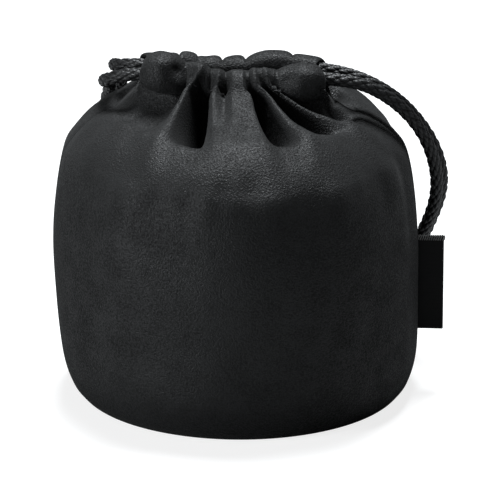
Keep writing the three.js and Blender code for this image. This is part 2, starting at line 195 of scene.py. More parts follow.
def even_steps(line, step):
    travelled = np.concatenate([[0], np.cumsum(np.linalg.norm(np.diff(line, axis=0), axis=1))])
    stops = np.linspace(0, travelled[-1], max(2, round(travelled[-1] / step) + 1))
    return np.column_stack([np.interp(stops, travelled, line[:, axis]) for axis in range(3)])


def length_of(line):
    return float(np.linalg.norm(np.diff(line, axis=0), axis=1).sum())


def line_object(line):
    """A curve object with one straight-stepped spline, for a tree to work on."""
    data = bpy.data.curves.new("line", "CURVE")
    data.dimensions = "3D"
    spline = data.splines.new("POLY")
    spline.points.add(len(line) - 1)
    spline.points.foreach_set("co", np.column_stack([line, np.ones(len(line))]).ravel())
    return put("line", data)


# %% [markdown]
# Braid
#
# A drawcord is a tube of twelve yarns, six winding one way and six the other, each going over one and under
# the next. Twelve separate yarns would cost a million faces. From outside the braid is a tube with low
# diamond-shaped hills, so a tree grows a plain tube and moves its surface. Round the cord and along it, two
# slanting counts say which yarn of each family passes there. On the odd crossings one family is on top, on the
# even ones the other. Each hill is round, and lowest where its yarn dives under the next.

# %% Braid tree
CORD = 0.0038
BRAID_SIZES = {"Diameter": CORD, "Relief": 0.00055, "Pitch": 0.022, "Step": 0.00026, "Yarns": 6, "Sides": 60}
# How much the square of a hill's height falls from its middle to its edge
HILL_DIP = 0.93


def braid_tree():
    tree, given = new_tree("braided_cord", BRAID_SIZES, "Line", "Cord")
    steps = add_node(tree, "GeometryNodeResampleCurve", {"Curve": given["Line"], "Length": given["Step"]},
                     mode="LENGTH")
    place = add_node(tree, "GeometryNodeSplineParameter").outputs

    along = add_node(tree, "GeometryNodeCaptureAttribute", {0: steps.outputs[0]})
    along.capture_items.new("FLOAT", "Along")
    tree.links.new(place["Length"], along.inputs[1])
    radius = calculate(tree, "DIVIDE", given["Diameter"], 2.0)
    ring = add_node(tree, "GeometryNodeCurvePrimitiveCircle", {"Resolution": given["Sides"], "Radius": radius})
    turned = add_node(tree, "GeometryNodeCaptureAttribute", {0: ring.outputs[0]})
    turned.capture_items.new("FLOAT", "Turn")
    tree.links.new(place["Factor"], turned.inputs[1])
    tube = add_node(tree, "GeometryNodeCurveToMesh",
                    {"Curve": along.outputs[0], "Profile Curve": turned.outputs[0], "Fill Caps": True})

    travel = calculate(tree, "DIVIDE", along.outputs[1], given["Pitch"])
    counts = []
    for operation in ("ADD", "SUBTRACT"):
        slant = calculate(tree, operation, turned.outputs[1], travel)
        counts.append(calculate(tree, "MULTIPLY", slant, given["Yarns"]))
    over, under = (calculate(tree, "FRACT", count) for count in counts)
    whole = calculate(tree, "ADD", *(calculate(tree, "FLOOR", count) for count in counts))
    odd = calculate(tree, "FLOORED_MODULO", whole, 2.0)
    across = calculate(tree, "MULTIPLY_ADD", choose(tree, odd, over, under), 2.0, -1.0)
    lengthwise = calculate(tree, "MULTIPLY_ADD", choose(tree, odd, under, over), 2.0, -1.0)
    slopes = []
    for step in (across, lengthwise):
        dip = calculate(tree, "MULTIPLY", calculate(tree, "MULTIPLY", step, step), HILL_DIP)
        slopes.append(calculate(tree, "SQRT", calculate(tree, "SUBTRACT", 1.0, dip)))
    hill = calculate(tree, "MULTIPLY", *slopes)

    sunk = calculate(tree, "MULTIPLY", calculate(tree, "SUBTRACT", hill, 1.0), given["Relief"])
    outward = add_node(tree, "GeometryNodeInputNormal").outputs[0]
    push = add_node(tree, "ShaderNodeVectorMath", {0: outward, "Scale": sunk}, operation="SCALE").outputs[0]
    shaped = add_node(tree, "GeometryNodeSetPosition", {"Geometry": tube.outputs[0], "Offset": push})
    yarn = add_node(tree, "ShaderNodeCombineXYZ", {0: across, 1: lengthwise, 2: hill}).outputs[0]
    marked = add_node(tree, "GeometryNodeStoreNamedAttribute",
                      {"Geometry": shaped.outputs[0], "Name": "yarn", "Value": yarn},
                      data_type="FLOAT_VECTOR", domain="POINT")
    round_faces = add_node(tree, "GeometryNodeSetShadeSmooth", {"Geometry": marked.outputs[0]})
    finish_tree(tree, round_faces.outputs[0], given["Finish"])
    return tree


braided_cord = braid_tree()
print("braid tree", len(braided_cord.nodes), "nodes")

# %% [markdown]
# Nylon
#
# Each hill of the braid is a bundle of black nylon filaments, which shines along a narrow line where the lamp
# meets it, while the gaps between the yarns stay black. The tree has stored, for each point, how far it lies
# across its yarn and how high it is. The colour grows lighter with the height, which paints shade into the gaps
# between the yarns, and fine ridges side by side across the yarn become its filaments.

# %% Nylon finish
# How many radians of the filaments' wave lie between a yarn's middle and its edge
FILAMENT_WAVE = 14.0


def new_material(name):
    material = bpy.data.materials.new(name)
    material.use_nodes = True
    return material, material.node_tree, material.node_tree.nodes["Principled BSDF"]


def bump_on(tree, shader, height, strength, distance):
    bump = add_node(tree, "ShaderNodeBump", {"Height": height, "Strength": strength, "Distance": distance})
    tree.links.new(bump.outputs[0], shader.inputs["Normal"])


def paint(tree, shader, colour, roughness, specular=0.5):
    """Gives a shader its colour, its roughness, which is a number or an output, and its reflections."""
    tree.links.new(colour, shader.inputs["Base Color"])
    if isinstance(roughness, bpy.types.NodeSocket):
        tree.links.new(roughness, shader.inputs["Roughness"])
    else:
        shader.inputs["Roughness"].default_value = roughness
    shader.inputs["Specular IOR Level"].default_value = specular


def place_on_piece(tree):
    """Where a point lies, in metres, so a pattern keeps its real size and stays on the piece."""
    return add_node(tree, "ShaderNodeTexCoord").outputs["Object"]


def noise(tree, where, scale, detail, roughness=0.5):
    """Soft specks around 0.5. The scale is how many lie along a metre."""
    sizes = {"Vector": where, "Scale": scale, "Detail": detail, "Roughness": roughness}
    return add_node(tree, "ShaderNodeTexNoise", sizes).outputs["Fac"]


def colour_ramp(tree, factor, stops):
    """A colour for each stop, a place from 0 to 1 and a colour."""
    ramp = add_node(tree, "ShaderNodeValToRGB", {"Fac": factor})
    elements = ramp.color_ramp.elements
    while len(elements) < len(stops):
        elements.new(0.5)
    for element, (place, colour) in zip(elements, stops):
        element.position = place
        element.color = (*colour, 1)
    return ramp.outputs["Color"]


def nylon_material():
    material, tree, shader = new_material("black_nylon")
    yarn = add_node(tree, "ShaderNodeAttribute", attribute_name="yarn").outputs["Vector"]
    across, _, hill = add_node(tree, "ShaderNodeSeparateXYZ", {0: yarn}).outputs
    # The colour is darkest low on each hill and lightest on its top: painted shade in the gaps between the yarns.
    colour = colour_ramp(tree, hill, [(0.45, (0.001, 0.001, 0.0011)), (0.97, (0.011, 0.0112, 0.0118))])
    filaments = calculate(tree, "SINE", calculate(tree, "MULTIPLY", across, FILAMENT_WAVE))
    paint(tree, shader, colour, roughness=0.45, specular=0.3)
    bump_on(tree, shader, filaments, strength=0.25, distance=0.00006)
    return material


black_nylon = nylon_material()
print("finish", black_nylon.name)

# %% [markdown]
# Drawcords
#
# The pouch has two drawcords. Each runs through both halves of the hem, turns round at the far seam, and leaves
# on its own side, where its two ends are tied together. So pulling the two knots apart draws the mouth shut.
# One long tube for each cord would do for a picture. Here each cord is a held loop inside the hem, which stays
# with the pouch, and two free strands, which slide with the knot.

# %% Routes
CHANNEL_MIDDLE = 0.0932
CORD_SPACING = 0.0041
LEAD_INNER_END = 0.0155
CHANNEL_END = 0.0267
MOUTH_TILT = 0.0028 / 0.0255

RIGHT_FRONT = [
    (0.0267, -0.004, 0.09232), (0.0287, -0.004, 0.0921), (0.032, -0.00375, 0.0918), (0.0356, -0.0032, 0.0907),
    (0.0414, -0.0021, 0.0872), (0.0469, -0.0004, 0.0822), (0.0514, 0.0017, 0.0759), (0.0543, 0.0043, 0.0692),
    (0.0559, 0.007, 0.0623), (0.0564, 0.0101, 0.0552), (0.0553, 0.0139, 0.0478), (0.0533, 0.0182, 0.041),
    (0.0506, 0.0232, 0.0334), (0.0477, 0.0288, 0.0254), (0.0448, 0.0345, 0.0178), (0.0418, 0.0401, 0.0108),
    (0.0388, 0.0447, 0.0056), (0.035, 0.0491, 0.0028), (0.02957, 0.05306, 0.0049),
]
RIGHT_BACK = [
    (0.0267, 0.004, 0.09232), (0.0287, 0.00395, 0.09205), (0.0318, 0.0036, 0.0912), (0.0356, 0.003, 0.0901),
    (0.0413, 0.0027, 0.0871), (0.0466, 0.0038, 0.0826), (0.0509, 0.006, 0.0768), (0.0545, 0.0085, 0.0704),
    (0.0569, 0.0111, 0.0636), (0.0579, 0.0141, 0.0564), (0.057, 0.0179, 0.0492), (0.055, 0.0222, 0.0422),
    (0.0526, 0.027, 0.0346), (0.05, 0.0324, 0.0266), (0.0472, 0.038, 0.0188), (0.0442, 0.0438, 0.0115),
    (0.041, 0.0489, 0.0056), (0.0369, 0.0534, 0.0028), (0.03115, 0.05696, 0.0049),
]
LEFT_FRONT = [
    (-0.0267, -0.004, 0.09408), (-0.0286, -0.004, 0.09415), (-0.0311, -0.0035, 0.0936),
    (-0.0338, -0.0018, 0.0922), (-0.0359, 0.0012, 0.0905), (-0.0367, 0.0052, 0.0888), (-0.0365, 0.0102, 0.0869),
    (-0.0357, 0.0158, 0.0849), (-0.035, 0.0224, 0.0823), (-0.0351, 0.029, 0.0789), (-0.036, 0.0346, 0.0736),
    (-0.0374, 0.0372, 0.066), (-0.0386, 0.0382, 0.057), (-0.039, 0.0386, 0.0475), (-0.0388, 0.0392, 0.038),
    (-0.038, 0.0407, 0.0286), (-0.0368, 0.0433, 0.0194), (-0.0348, 0.0469, 0.011), (-0.032, 0.0508, 0.005),
    (-0.0289, 0.0537, 0.0028), (-0.0263, 0.0552, 0.0034), (-0.02356, 0.05688, 0.0049),
]
LEFT_BACK = [
    (-0.0267, 0.004, 0.09408), (-0.0286, 0.0042, 0.094), (-0.031, 0.0055, 0.0932), (-0.033, 0.0086, 0.092),
    (-0.0339, 0.013, 0.0907), (-0.0338, 0.0178, 0.0891), (-0.0331, 0.0226, 0.0872), (-0.0321, 0.0276, 0.0845),
    (-0.0318, 0.0334, 0.0804), (-0.0322, 0.0384, 0.0744), (-0.0332, 0.0414, 0.0666), (-0.0339, 0.0429, 0.058),
    (-0.0342, 0.0436, 0.049), (-0.0342, 0.044, 0.0405), (-0.034, 0.0448, 0.032), (-0.0334, 0.0462, 0.024),
    (-0.0322, 0.0489, 0.0166), (-0.0307, 0.053, 0.0102), (-0.0292, 0.0575, 0.0064), (-0.0275, 0.06, 0.0054),
    (-0.025, 0.0612, 0.0049),
]


def pass_height(x, level):
    """How high a cord runs in the hem. Level 1 is the upper cord, -1 the lower one, and the hem tilts."""
    return CHANNEL_MIDDLE + level * CORD_SPACING / 2 - MOUTH_TILT * x


def lead(pull, level, y):
    """The hidden start of a strand, straight inside the hem."""
    stations = (LEAD_INNER_END, (LEAD_INNER_END + CHANNEL_END) / 2)
    return [(pull * x, y, pass_height(pull * x, level)) for x in stations]


# %% Free strands


def strand(name, pull, level, route):
    start = route[0]
    line = smooth_path(lead(pull, level, start[1]) + route)
    piece = grow(name + "_braid", line_object(line), braided_cord, black_nylon)
    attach(piece, "right_drawcord" if pull > 0 else "left_drawcord")
    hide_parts(name)
    print(piece.name, round(length_of(line) / MM), "mm,", len(piece.data.polygons), "faces")
    return piece


# %% [markdown]
# Knots
#
# Each pair of ends is tied in one overhand knot. Drawn tight in two strands, it is a short barrel: the strands
# run in along its middle, come out at the far end, wind back round themselves, and dive through to leave as two
# tails. A real knot could be found by simulation. A line that winds as told is quicker, and it always fits.

# %% Knot lines
KNOT_TURNS = 1.3
WRAP_WIDTH = 0.0063
WRAP_HEIGHT = 0.0045
KNOT_END = 0.0098
TAIL_REACH = 0.0164
TAIL_DROP = 0.0045


def knot_line(lean, direction):
    """One strand through the knot, with its middle at zero. lean is -1 or 1, the side that the strand keeps."""
    offset = lean * CORD / 2
    points = [(-KNOT_END, offset, -0.0014), (-0.0052, offset * 0.8, 0), (0.0018, offset * 0.5, 0.0009)]
    first_turn = math.radians(-30)
    start = 0.0042 + offset
    for i in range(12):
        share = i / 11
        angle = first_turn + 2 * math.pi * KNOT_TURNS * share
        x = start - 2 * CORD * KNOT_TURNS * share
        points.append((x, WRAP_WIDTH * math.cos(angle), WRAP_HEIGHT * math.sin(angle)))
    points.append((-0.0035, -offset * 0.6, -0.0018))
    points.append((0.002, -offset * 0.6, -0.0016))
    points.append((KNOT_END - 0.001, -offset, -0.0026))
    points.append((TAIL_REACH - 0.003, -offset * 1.9, -TAIL_DROP))
    points.append((TAIL_REACH, -offset * 2.4, -TAIL_DROP))
    return [(direction * x, y, z) for x, y, z in points]


def knot(name, place, turn, direction, body):
    """Both strands of a knot as one piece. direction is the side of X that its tails point to."""
    turned = np.array([[math.cos(turn), -math.sin(turn), 0], [math.sin(turn), math.cos(turn), 0], [0, 0, 1]])
    parts = []
    for lean in (-1, 1):
        line = smooth_path(knot_line(lean, direction), easing=6) @ turned.T + np.array(place)
        parts.append(grow("turns", line_object(line), braided_cord, black_nylon))
    piece = join(name + "_braid", parts)
    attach(piece, body)
    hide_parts(name)
    return piece


def join(name, parts):
    """Several objects' meshes as one object. The parts are removed."""
    whole = bmesh.new()
    for part in parts:
        whole.from_mesh(part.data)
    mesh = bpy.data.meshes.new(name)
    whole.to_mesh(mesh)
    whole.free()
    for material in parts[0].data.materials:
        mesh.materials.append(material)
    for part in parts:
        bpy.data.objects.remove(part)
    return put(name, mesh)


right_knot = knot("right_knot", (0.021, 0.0588, 0.0066), math.radians(-22), -1, "right_drawcord")
left_knot = knot("left_knot", (-0.0146, 0.062, 0.0066), math.radians(18), 1, "left_drawcord")
print("knots", len(right_knot.data.polygons), "faces each")

# %% Strands with their knots
strand("right_strand_front", 1, 1, RIGHT_FRONT)
strand("right_strand_back", 1, 1, RIGHT_BACK)
strand("left_strand_front", -1, -1, LEFT_FRONT)
strand("left_strand_back", -1, -1, LEFT_BACK)

# %% [markdown]
# The gathered cloth
#
# Each half of the pouch is one sheet. It turns up from the base, climbs the wall, rolls over the shoulder, is
# gathered into folds, goes over the cords in the hem, and ends inside the mouth. It could be sculpted by hand,
# or simulated from a flat cut. The look of a drawn-shut mouth hangs on a few fold lines, so two outlines are
# drawn for the top, one up a ridge and one up a pocket, and the cloth goes from one to the other and back from
# fold to fold. A fold has a place at the shoulder, as a share of the sheet's width, a place at the mouth, in
# millimetres, and three heights from 0, pocket, to 1, ridge: at the shoulder, under the hem and on the hem.

# %% Sizes of the body, in mm
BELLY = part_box("front_panel")[1][0] / MM
MOUTH_HALF_WIDTH = 25.5
MOUTH_DEPTH = 7
MOUTH_SQUARENESS = 3.5
HEM_ENDS = (-26.7, 25.2)
MOUTH_DROP = 2.8
INNER_HALF_THICKNESS = 3.2
END_MITRE = 3.0
CLOTH = 1.0
FOOT_SHIFT = 1.4
print("belly radius", round(BELLY, 1), "mm")

# %% Fold lines
# Each fold: place and height at the shoulder, x in mm at the hem, height under the hem, height on the hem
FRONT_FOLDS = [
    (0.0, 0.3, -26.7, 0.55, 0.0), (0.045, 0.5, -24.1, 0.5, 0.0), (0.12, 0.4, -19.5, 0.52, 0.0),
    (0.2, 0.35, -15.2, 0.5, 0.0), (0.25, 0.6, -13.2, 0.45, 0.0), (0.292, 1.0, -10.4, 1.0, 1.0),
    (0.352, 0.08, -8.6, 0.0, 0.2), (0.4, 0.0, -7.3, 0.0, 0.05), (0.456, 0.9, -5.1, 0.75, 0.6),
    (0.472, 0.93, -2.9, 0.6, 0.0), (0.5, 0.97, -0.5, 0.95, 0.9), (0.57, 1.0, 2.0, 1.0, 0.9),
    (0.618, 0.1, 3.4, 0.05, 0.25), (0.65, 0.1, 4.1, 0.05, 0.3), (0.696, 1.0, 5.8, 0.95, 0.9),
    (0.79, 0.15, 7.2, 0.25, 0.4), (0.825, 0.0, 7.7, 0.2, 0.4), (0.885, 0.85, 9.2, 0.8, 0.7),
    (0.925, 0.15, 11.3, 0.35, 0.0), (0.96, 0.25, 19.0, 0.6, 0.0), (1.0, 0.3, 25.2, 0.55, 0.0),
]
BACK_FOLDS = [
    (0.0, 0.3, -26.7, 0.55, 0.0), (0.075, 0.85, -20.0, 0.9, 0.0), (0.17, 0.15, -15.5, 0.3, 0.0),
    (0.26, 0.85, -12.6, 0.9, 0.5), (0.35, 0.05, -9.8, 0.05, 0.0), (0.42, 0.85, -6.6, 0.9, 0.5),
    (0.5, 0.05, -3.4, 0.05, 0.0), (0.58, 0.9, 0.2, 0.95, 0.5), (0.66, 0.0, 3.4, 0.0, 0.0),
    (0.76, 1.0, 9.0, 1.0, 0.3), (0.85, 0.05, 15.5, 0.3, 0.0), (0.93, 0.45, 21.0, 0.6, 0.0),
    (1.0, 0.3, 25.2, 0.55, 0.0),
]
# The hem along the mouth: x, depth of its middle line, height of it, half thickness outwards, half height
FRONT_HEM = [
    (-26.7, 4.1, 94.2, 3.1, 3.1), (-24.4, 4.6, 94.4, 4.9, 5.4), (-20.8, 5.0, 94.3, 5.8, 6.4),
    (-17.0, 5.3, 94.0, 5.4, 6.0), (-13.6, 5.7, 93.0, 3.6, 5.2), (-9.6, 6.2, 92.4, 3.2, 5.1),
    (-6.0, 6.5, 91.1, 3.2, 5.0), (-2.5, 6.6, 90.4, 3.2, 5.0), (1.5, 6.6, 90.3, 3.2, 5.0),
    (6, 6.4, 91.0, 3.2, 5.1), (9, 6.2, 91.0, 3.3, 5.1), (11.4, 5.9, 90.6, 3.6, 5.2),
    (14.4, 5.3, 90.6, 5.1, 6.0), (18.2, 4.8, 90.7, 5.6, 6.5),
    (22.4, 4.5, 91.4, 4.8, 5.4), (25.2, 4.1, 92.4, 3.1, 3.1),
]
BACK_HEM = [
    (-26.7, 4.1, 94.1, 3.1, 3.1), (-20, 4.2, 93.2, 3.2, 3.6), (-16.2, 4.6, 92.4, 3.6, 4.6),
    (-13.4, 5.0, 91.3, 4.0, 5.0), (-8, 5.6, 89.7, 4.0, 5.0), (0, 6.0, 89.5, 4.0, 5.0), (3.4, 6.0, 90.0, 4.2, 5.0),
    (8.5, 6.0, 91.0, 5.0, 5.4), (14, 5.5, 91.3, 4.8, 5.3), (20, 4.6, 91.7, 3.7, 4.4), (25.2, 4.1, 92.3, 3.1, 3.1),
]
# Where the hem's lobes meet, along the mouth, and how far each lobe swells
FRONT_LOBES = [-26.7, -13.6, -6.7, -2.8, 3.7, 7.3, 11.4, 25.2]
FRONT_SWELL = [0.5, 0.1, 0.1, 0.1, 0.1, 0.1, 0.4]
BACK_LOBES = [-26.7, -15.6, -10.4, -3.6, 2.8, 16.0, 25.2]
BACK_SWELL = [0.2, 0.7, 0.8, 0.8, 0.7, 0.2]
# The creases between the lobes, in mm, how sharp they are, the way that the lobes face, in degrees up from
# straight out, and the angles between which they swell
LOBE_CREASE, CREASE_POWER = 0.6, 8
LOBES_FACE = 50
LOBES_BETWEEN = (-45, 140)
# Steps along the hem, how many of them to each side round a station off, and the width of that bell
HEM_STEPS, ROUNDING, ROUNDING_WIDTH = 260, 12, 5
# Below 1, the section of the hem's tube is a little square
TUBE_POWER = 0.8

# The wall: share of the belly's radius, height, and how far the folds still move it, in mm
WALL = [
    (0.86, 1.6, 0), (0.872, 0.5, 0), (0.902, 2.0, 0), (0.928, 4.0, 0), (0.961, 9.0, 0), (0.98, 16.0, 0.1),
    (0.992, 28.0, 0.2), (1.0, 45.0, 0.4), (0.977, 60.0, 0.9), (0.941, 69.6, 1.4),
]
# How far in a pocket and how far out a ridge goes for each mm of that, and how far from a seam, as a share of the
# sheet's width, the folds reach their full size
POCKET_IN, RIDGE_OUT = 0.6, 0.4
FOLDS_START = 0.06
# The shoulder: share of the belly's radius, height up a ridge and height up a pocket
SHOULDER = [(0.892, 74.6, 73.7), (0.82, 79.0, 77.8), (0.735, 82.5, 80.9), (0.672, 84.4, 82.0)]
# At the seams the cloth lies this share of the way from pocket to ridge. The right shoulder lies lower, in mm.
SEAM_SHARE = 0.3
RIGHT_DROP = 1.6
# The neck: way to the mouth and height, up a ridge and up a pocket
NECK = [(0.2, 85.8, 0.14, 79.2), (0.4, 87.6, 0.42, 74.6), (0.59, 89.6, 0.75, 72.6), (0.74, 91.6, 0.98, 77.0)]
# The seams' height at the neck's foot, and how far they rise to the mouth
NECK_SEAM, NECK_SEAM_RISE = 82, 6.5
# Round the hem: angle up from straight out, then how far out and up from its middle a ridge lies there. Past the
# top there are no ridges.
HEM = [
    (-75, 6.1, 2.4), (-35, 5.4, 3.4), (0, 4.5, 4.4), (45, 3.0, 5.6), (90, 0.6, 6.1),
    (135, None, None), (180, None, None), (225, None, None), (262, None, None),
]
# The hem's ridges stand out less away from the middle: by this share, and from where to where in mm
RIDGES_DRAWN_IN = 0.25
DRAWN_BETWEEN = (4, 8)
# How plump the ridges are under the hem and on it, and the stage from which the heights on the hem hold
NECK_PLUMP, HEM_PLUMP = 2.2, 1.2
HEM_STAGE = 1.4
# Under the hem the ridges lie further out by this share, and on it further in, until the lean fades, in mm
RIDGE_LEAN = 0.15
NO_LEAN, FULL_LEAN = 14, 10

# %% Cloth outlines


def between(places, values, where):
    """Values at places, with a smooth S from each to the next."""
    places, values = np.asarray(places, float), np.asarray(values, float)
    i = np.clip(np.searchsorted(places, where, side="right") - 1, 0, len(places) - 2)
    t = np.clip((where - places[i]) / (places[i + 1] - places[i]), 0, 1)
    return values[i] + (values[i + 1] - values[i]) * (t * t * (3 - 2 * t))


def smooth(low, high, t):
    """0 below low, 1 above high, and an S between them."""
    s = np.clip((np.asarray(t, float) - low) / (high - low), 0, 1)
    return s * s * (3 - 2 * s)


def off_the_seams(share, reach):
    """1 on the sheet, and down to 0 at both side seams."""
    return smooth(0, reach, share) * smooth(0, reach, 1 - share)


def fold_height(folds, share, stage):
    """The height, 0 to 1, across the sheet. stage is 0 at the shoulder, 1 under the hem and 2 on it."""
    feet, foot_heights, ends, neck_heights, hem_heights = np.array(folds).T
    lean = 1 + RIDGE_LEAN * (1 - 2 * np.clip(stage - 1, 0, 1)) * smooth(NO_LEAN, FULL_LEAN, np.abs(ends))
    mouths = (ends * lean - HEM_ENDS[0]) / (HEM_ENDS[1] - HEM_ENDS[0])
    places = feet + (mouths - feet) * min(stage, 1)
    three_heights = zip(foot_heights, neck_heights, hem_heights)
    heights = np.array([np.interp(stage, [0, 1, HEM_STAGE], three) for three in three_heights])
    plump = np.interp(stage, [0, 1, 2], [1, NECK_PLUMP, HEM_PLUMP])
    return 1 - (1 - between(places, heights, share)) ** plump


def lobe_swell(x, edges, sizes):
    """Round lobes with sharp creases between them, as on a scrunched hem."""
    edges, sizes = np.array(edges, float), np.array(sizes)
    i = np.clip(np.searchsorted(edges, x, side="right") - 1, 0, len(sizes) - 1)
    t = np.clip((x - edges[i]) / (edges[i + 1] - edges[i]) * 2 - 1, -1, 1)
    return sizes[i] * np.sqrt(1 - t * t) - LOBE_CREASE * np.abs(t) ** CREASE_POWER


def hem_at(side, x):
    """Depth, height, half thickness and half height of the hem's tube at x, rounded from station to station."""
    stations = np.array(FRONT_HEM if side < 0 else BACK_HEM)
    fine = np.linspace(*HEM_ENDS, HEM_STEPS)
    bell = np.exp(-((np.arange(-ROUNDING, ROUNDING + 1) / ROUNDING_WIDTH) ** 2))
    weights = bell / bell.sum()
    sizes = []
    for column in range(1, 5):
        straight = np.interp(fine, stations[:, 0], stations[:, column])
        start = 2 * straight[0] - straight[ROUNDING:0:-1]
        end = 2 * straight[-1] - straight[-2 : -ROUNDING - 2 : -1]
        longer = np.concatenate([start, straight, end])
        sizes.append(np.interp(x, fine, np.convolve(longer, weights, "valid")))
    return sizes


def signed_power(value, power):
    return math.copysign(abs(value) ** power, value)


def foot_shift(height):
    """The pouch leans a little: its foot lies further right than its belly."""
    return FOOT_SHIFT * (1 - smooth(0, 45, height))


def outlines(side, share):
    """The sheet as if all pocket, and as if all ridge. side is -1 for the front, 1 for the back."""
    angle = math.pi * share
    out = np.stack([-np.cos(angle), side * np.sin(angle)], axis=1)
    across = 2 * share - 1
    inside = off_the_seams(share, FOLDS_START)
    pocket, ridge = [], []

    def add(rows, flat, height):
        rows.append(np.column_stack([flat, np.broadcast_to(height, share.shape)]))

    for radius, height, moved in WALL:
        for rows, push in ((pocket, -POCKET_IN), (ridge, RIDGE_OUT)):
            reach = BELLY * radius + moved * push * inside
            add(rows, out * reach[:, None] + np.array([foot_shift(height), 0]), height)
    right_drop = RIGHT_DROP * smooth(0.4, 1.0, across)
    for step, (radius, ridge_height, pocket_height) in enumerate(SHOULDER, start=1):
        seam_height = (1 - SEAM_SHARE) * pocket_height + SEAM_SHARE * ridge_height
        for rows, height in ((pocket, pocket_height), (ridge, ridge_height)):
            settled = seam_height + (height - seam_height) * inside
            add(rows, out * BELLY * radius, settled - right_drop * step / len(SHOULDER))
    foot = ridge[-1][:, :2]
    depth = MOUTH_DEPTH * (1 - np.abs(across) ** MOUTH_SQUARENESS) ** (1 / MOUTH_SQUARENESS)
    mouth = np.column_stack([MOUTH_HALF_WIDTH * across, side * depth])
    for ridge_way, ridge_height, pocket_way, pocket_height in NECK:
        for rows, way, height in ((pocket, pocket_way, pocket_height), (ridge, ridge_way, ridge_height)):
            seam_height = NECK_SEAM + NECK_SEAM_RISE * way
            settled = seam_height + (height - seam_height) * inside
            add(rows, foot + (mouth - foot) * way, settled - right_drop * (1 - way) - MOUTH_DROP * across * way)
    hem_x = HEM_ENDS[0] + (HEM_ENDS[1] - HEM_ENDS[0]) * share
    lobes, swells = (FRONT_LOBES, FRONT_SWELL) if side < 0 else (BACK_LOBES, BACK_SWELL)
    swell = lobe_swell(hem_x, lobes, swells)
    for degrees, ridge_out, ridge_up in HEM:
        a = math.radians(degrees)
        outwards, up = signed_power(math.cos(a), TUBE_POWER), signed_power(math.sin(a), TUBE_POWER)
        x = hem_x - END_MITRE * (1 - outwards) / 2 * np.sign(across) * smooth(0.7, 1, np.abs(across))
        hem_depth, middle, half_thickness, half_height = hem_at(side, x)
        lobed = LOBES_BETWEEN[0] < degrees < LOBES_BETWEEN[1]
        grown = swell * max(0, math.cos(a - math.radians(LOBES_FACE))) ** 0.5 if lobed else 0
        tube_out = (half_thickness + grown) * outwards if outwards > 0 else INNER_HALF_THICKNESS * outwards
        tube_up = (half_height + grown) * up
        add(pocket, np.column_stack([x, side * (hem_depth + tube_out)]), middle + tube_up)
        if ridge_up is None:
            add(ridge, pocket[-1][:, :2], pocket[-1][:, 2])
        else:
            drawn_in = 1 - RIDGES_DRAWN_IN * smooth(*DRAWN_BETWEEN, np.abs(hem_x))
            add(ridge, np.column_stack([x, side * (hem_depth + ridge_out * drawn_in)]), middle + ridge_up)
    return np.array(pocket), np.array(ridge)


# %% [markdown]
# From outlines to cloth
#
# The outlines alone would give a cloth as smooth as moulded rubber. Real suede buckles a little everywhere. So
# the sheet that runs smoothly through the outlines is pushed in and out by soft noise: broad, shallow dents on
# the wall and fine wrinkles under the hem. It is also pressed in at two hollows of the hem's end lobes, and
# along the side seams, where the stitching pulls it tight.

# %% Cloth surface
COLUMNS, ROWS = 241, 199
HOLLOWS = [(-15.4, -10.0, 97.4, 3.0, 1.8), (14.4, -9.8, 94.8, 3.0, 1.3)]
DENT, WRINKLE, SEAM_DIP, SEAM_REACH = 0.9, 0.3, 0.35, 0.008
# The share of the rows that the wall gets, and how far from a seam the dents reach their full depth
WALL_SHARE = 0.36
DENTS_START = 0.08
# How many cells the dents' noise and the wrinkles' noise have each way
DENT_CELLS, WRINKLE_CELLS = (7, 11), (16, 34)


def catmull(controls, where):
    """Rows on smooth curves through the control rows, at fractional places."""
    last = len(controls) - 1
    i = np.clip(where.astype(int), 0, last - 1)
    t = (where - i)[:, None, None]
    p0, p1 = controls[np.maximum(i - 1, 0)], controls[i]
    p2, p3 = controls[i + 1], controls[np.minimum(i + 2, last)]
    return 0.5 * (
        2 * p1 + (p2 - p0) * t + (2 * p0 - 5 * p1 + 4 * p2 - p3) * t**2 + (3 * p1 - 3 * p2 + p3 - p0) * t**3
    )


def soft_noise(seed, cells_up, cells_across, rows, columns):
    """Smooth random heights, about -1 to 1, over a grid."""
    lattice = np.random.default_rng(seed).uniform(-1, 1, (cells_up + 1, cells_across + 1, 1))
    up = catmull(lattice, np.linspace(0, cells_up, rows))
    return catmull(up.transpose(1, 0, 2), np.linspace(0, cells_across, columns)).transpose(1, 0, 2)[:, :, 0]


def outward(points, side):
    """Unit directions straight out of the cloth."""
    normals = np.cross(np.gradient(points, axis=1), np.gradient(points, axis=0)) * -side
    return normals / np.maximum(np.linalg.norm(normals, axis=2, keepdims=True), 1e-9)


